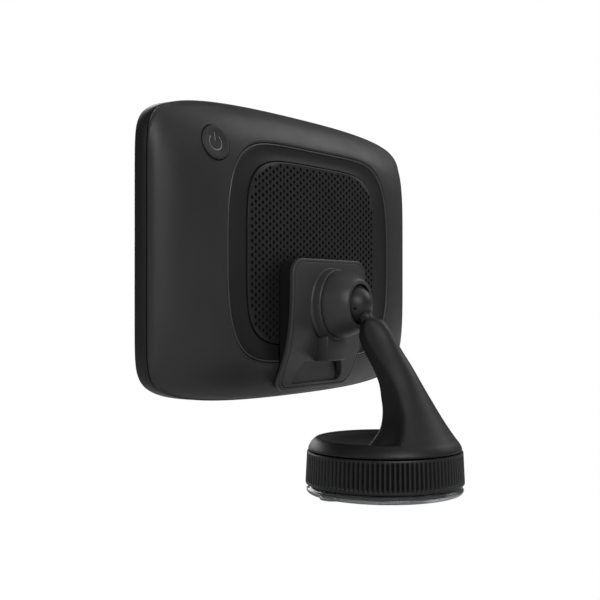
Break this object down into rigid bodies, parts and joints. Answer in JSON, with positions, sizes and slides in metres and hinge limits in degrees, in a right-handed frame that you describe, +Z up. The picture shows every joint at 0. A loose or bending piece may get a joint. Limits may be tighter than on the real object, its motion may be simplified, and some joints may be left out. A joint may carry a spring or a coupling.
{
  "type": "portable gps navigator",
  "caption": "Flat windscreen navigator with a rear speaker, held by a magnetic dock on a ball joint, curved arm and twist-lock suction base.",
  "frame": {"origin": "centre of the suction pad underside", "axes": "+Z up along the base axis, -Y the way the screen faces, X along the long side of the screen"},
  "size_m": [0.144, 0.0641, 0.1192],
  "materials": {
    "shell_charcoal": "soft-touch charcoal moulding",
    "trim_black": "fine-grained black moulding",
    "grille_black": "black perforated moulding",
    "mount_black": "satin black moulding",
    "rib_black": "grip-textured black moulding",
    "touch_glass": "dark touch glass",
    "display": "dark display stack",
    "gel_clear": "clear tacky gel",
    "liner_rubber": "dark elastomer",
    "steel": "plain stamped steel",
    "magnet": "nickel plated",
    "board_green": "solder-masked board",
    "chip_black": "moulded black",
    "cell_silver": "foil pouch",
    "ceramic_tan": "fired ceramic",
    "contact_gold": "gold-flashed contacts"
  },
  "bodies": {
    "base": {"suction_pad": "gel_clear", "base_hub": "trim_black", "mount_arm": "mount_black", "ball_stud": "mount_black", "base_screw_1": "steel", "base_screw_2": "steel"},
    "ring": {"twist_ring": "rib_black", "cam_sleeve": "steel"},
    "lifter": {"plunger": "chip_black", "cross_pin": "steel"},
    "pan_liner": {"ball_liner": "liner_rubber"},
    "tilt_ring": {"friction_ring": "liner_rubber"},
    "dock": {"dock_rear_shell": "mount_black", "dock_front_shell": "trim_black", "dock_board": "board_green", "pin_block": "contact_gold", "usb_socket": "steel", "socket_collar": "mount_black", "pressure_pad": "liner_rubber", "pressure_spring": "steel", "dock_magnet_1": "magnet", "dock_screw_1": "steel", "dock_magnet_2": "magnet", "dock_screw_2": "steel", "dock_magnet_3": "magnet", "dock_screw_3": "steel", "dock_magnet_4": "magnet", "dock_screw_4": "steel"},
    "navigator": {"touch_glass": "touch_glass", "front_frame": "trim_black", "lcd_module": "display", "mid_frame": "steel", "back_cover": "shell_charcoal", "recess_ring": "trim_black", "speaker_grille": "grille_black", "speaker_driver": "chip_black", "speaker_gasket": "liner_rubber", "main_board": "board_green", "rf_shield": "steel", "processor_chip": "chip_black", "gps_patch_antenna": "ceramic_tan", "battery": "cell_silver", "keeper_plate": "steel", "contact_block": "contact_gold", "power_switch": "chip_black", "case_screw_1": "steel", "case_screw_2": "steel", "case_screw_3": "steel", "case_screw_4": "steel"},
    "power_key": {"power_button": "shell_charcoal"}
  },
  "joints": [
    {"name": "ring_turn", "type": "hinge", "parent": "base", "child": "ring", "pos_m": [0, 0, 0.008], "axis": [0, 0, 1], "range_deg": [0, 90]},
    {"name": "plunger_lift", "type": "slide", "parent": "base", "child": "lifter", "axis": [0, 0, 1], "range_m": [0, 0.002]},
    {"name": "pan", "type": "hinge", "parent": "base", "child": "pan_liner", "pos_m": [0, -0.0112, 0.0582], "axis": [0, 0, 1], "range_deg": [-20, 20]},
    {"name": "tilt", "type": "hinge", "parent": "pan_liner", "child": "tilt_ring", "pos_m": [0, -0.0112, 0.0582], "axis": [-1, 0, 0], "range_deg": [-5, 35]},
    {"name": "roll", "type": "hinge", "parent": "tilt_ring", "child": "dock", "pos_m": [0, -0.0112, 0.0582], "axis": [0, 1, 0], "range_deg": [-25, 25]},
    {"name": "navigator_release", "type": "slide", "parent": "dock", "child": "navigator", "axis": [0, -1, 0], "range_m": [0, 0.04]},
    {"name": "power_press", "type": "slide", "parent": "navigator", "child": "power_key", "axis": [-0.1769, -0.9612, -0.2117], "range_m": [0, 0.0005], "stiffness_N_per_m": 2000}
  ],
  "couplings": [
    {"joint": "plunger_lift", "follows": "ring_turn", "m_per_rad": 0.001273}
  ]
}
